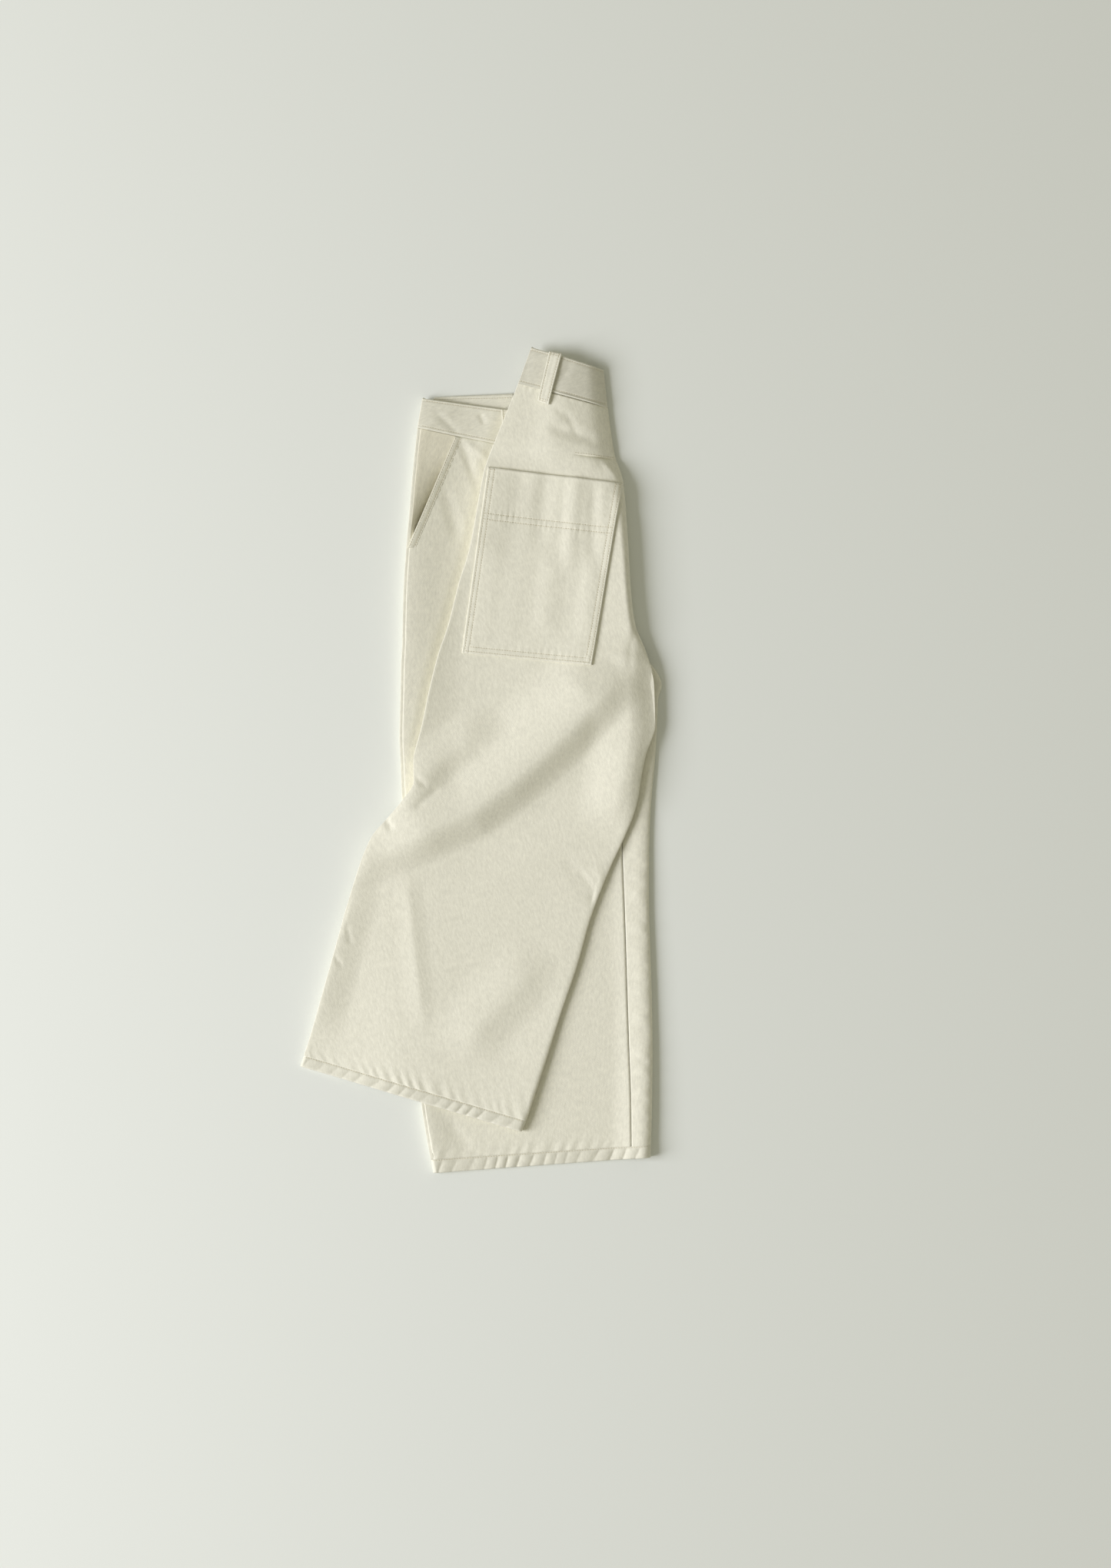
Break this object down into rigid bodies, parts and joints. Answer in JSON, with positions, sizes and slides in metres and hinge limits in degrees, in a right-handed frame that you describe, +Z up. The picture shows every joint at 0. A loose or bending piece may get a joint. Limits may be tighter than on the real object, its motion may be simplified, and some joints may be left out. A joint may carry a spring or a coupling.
{
  "type": "denim trousers",
  "caption": "Wide-leg cropped denim trousers in natural ecru, folded lengthwise and laid flat, one leg back up across the other.",
  "frame": {"origin": "on the floor under the middle of the folded garment's outline", "axes": "+X from the outer side seam to the seat fold, +Y from the hems to the waist, +Z up from the floor"},
  "size_m": [0.4697, 1.0722, 0.0313],
  "materials": {
    "denim": "undyed ecru cotton twill, matt with a light nap, sewn with thread of the same colour"
  },
  "bodies": {
    "root": {"left_leg_back": "denim", "left_leg_front": "denim", "right_leg_front": "denim", "right_leg_back": "denim", "hidden_layers": "denim", "waistband_back": "denim", "waistband_back_under": "denim", "waistband_front": "denim", "back_pocket": "denim", "front_pocket_facing": "denim", "front_pocket_edge": "denim", "belt_loop_back": "denim", "belt_loop_front": "denim", "left_hem": "denim", "right_hem": "denim"}
  },
  "joints": []
}
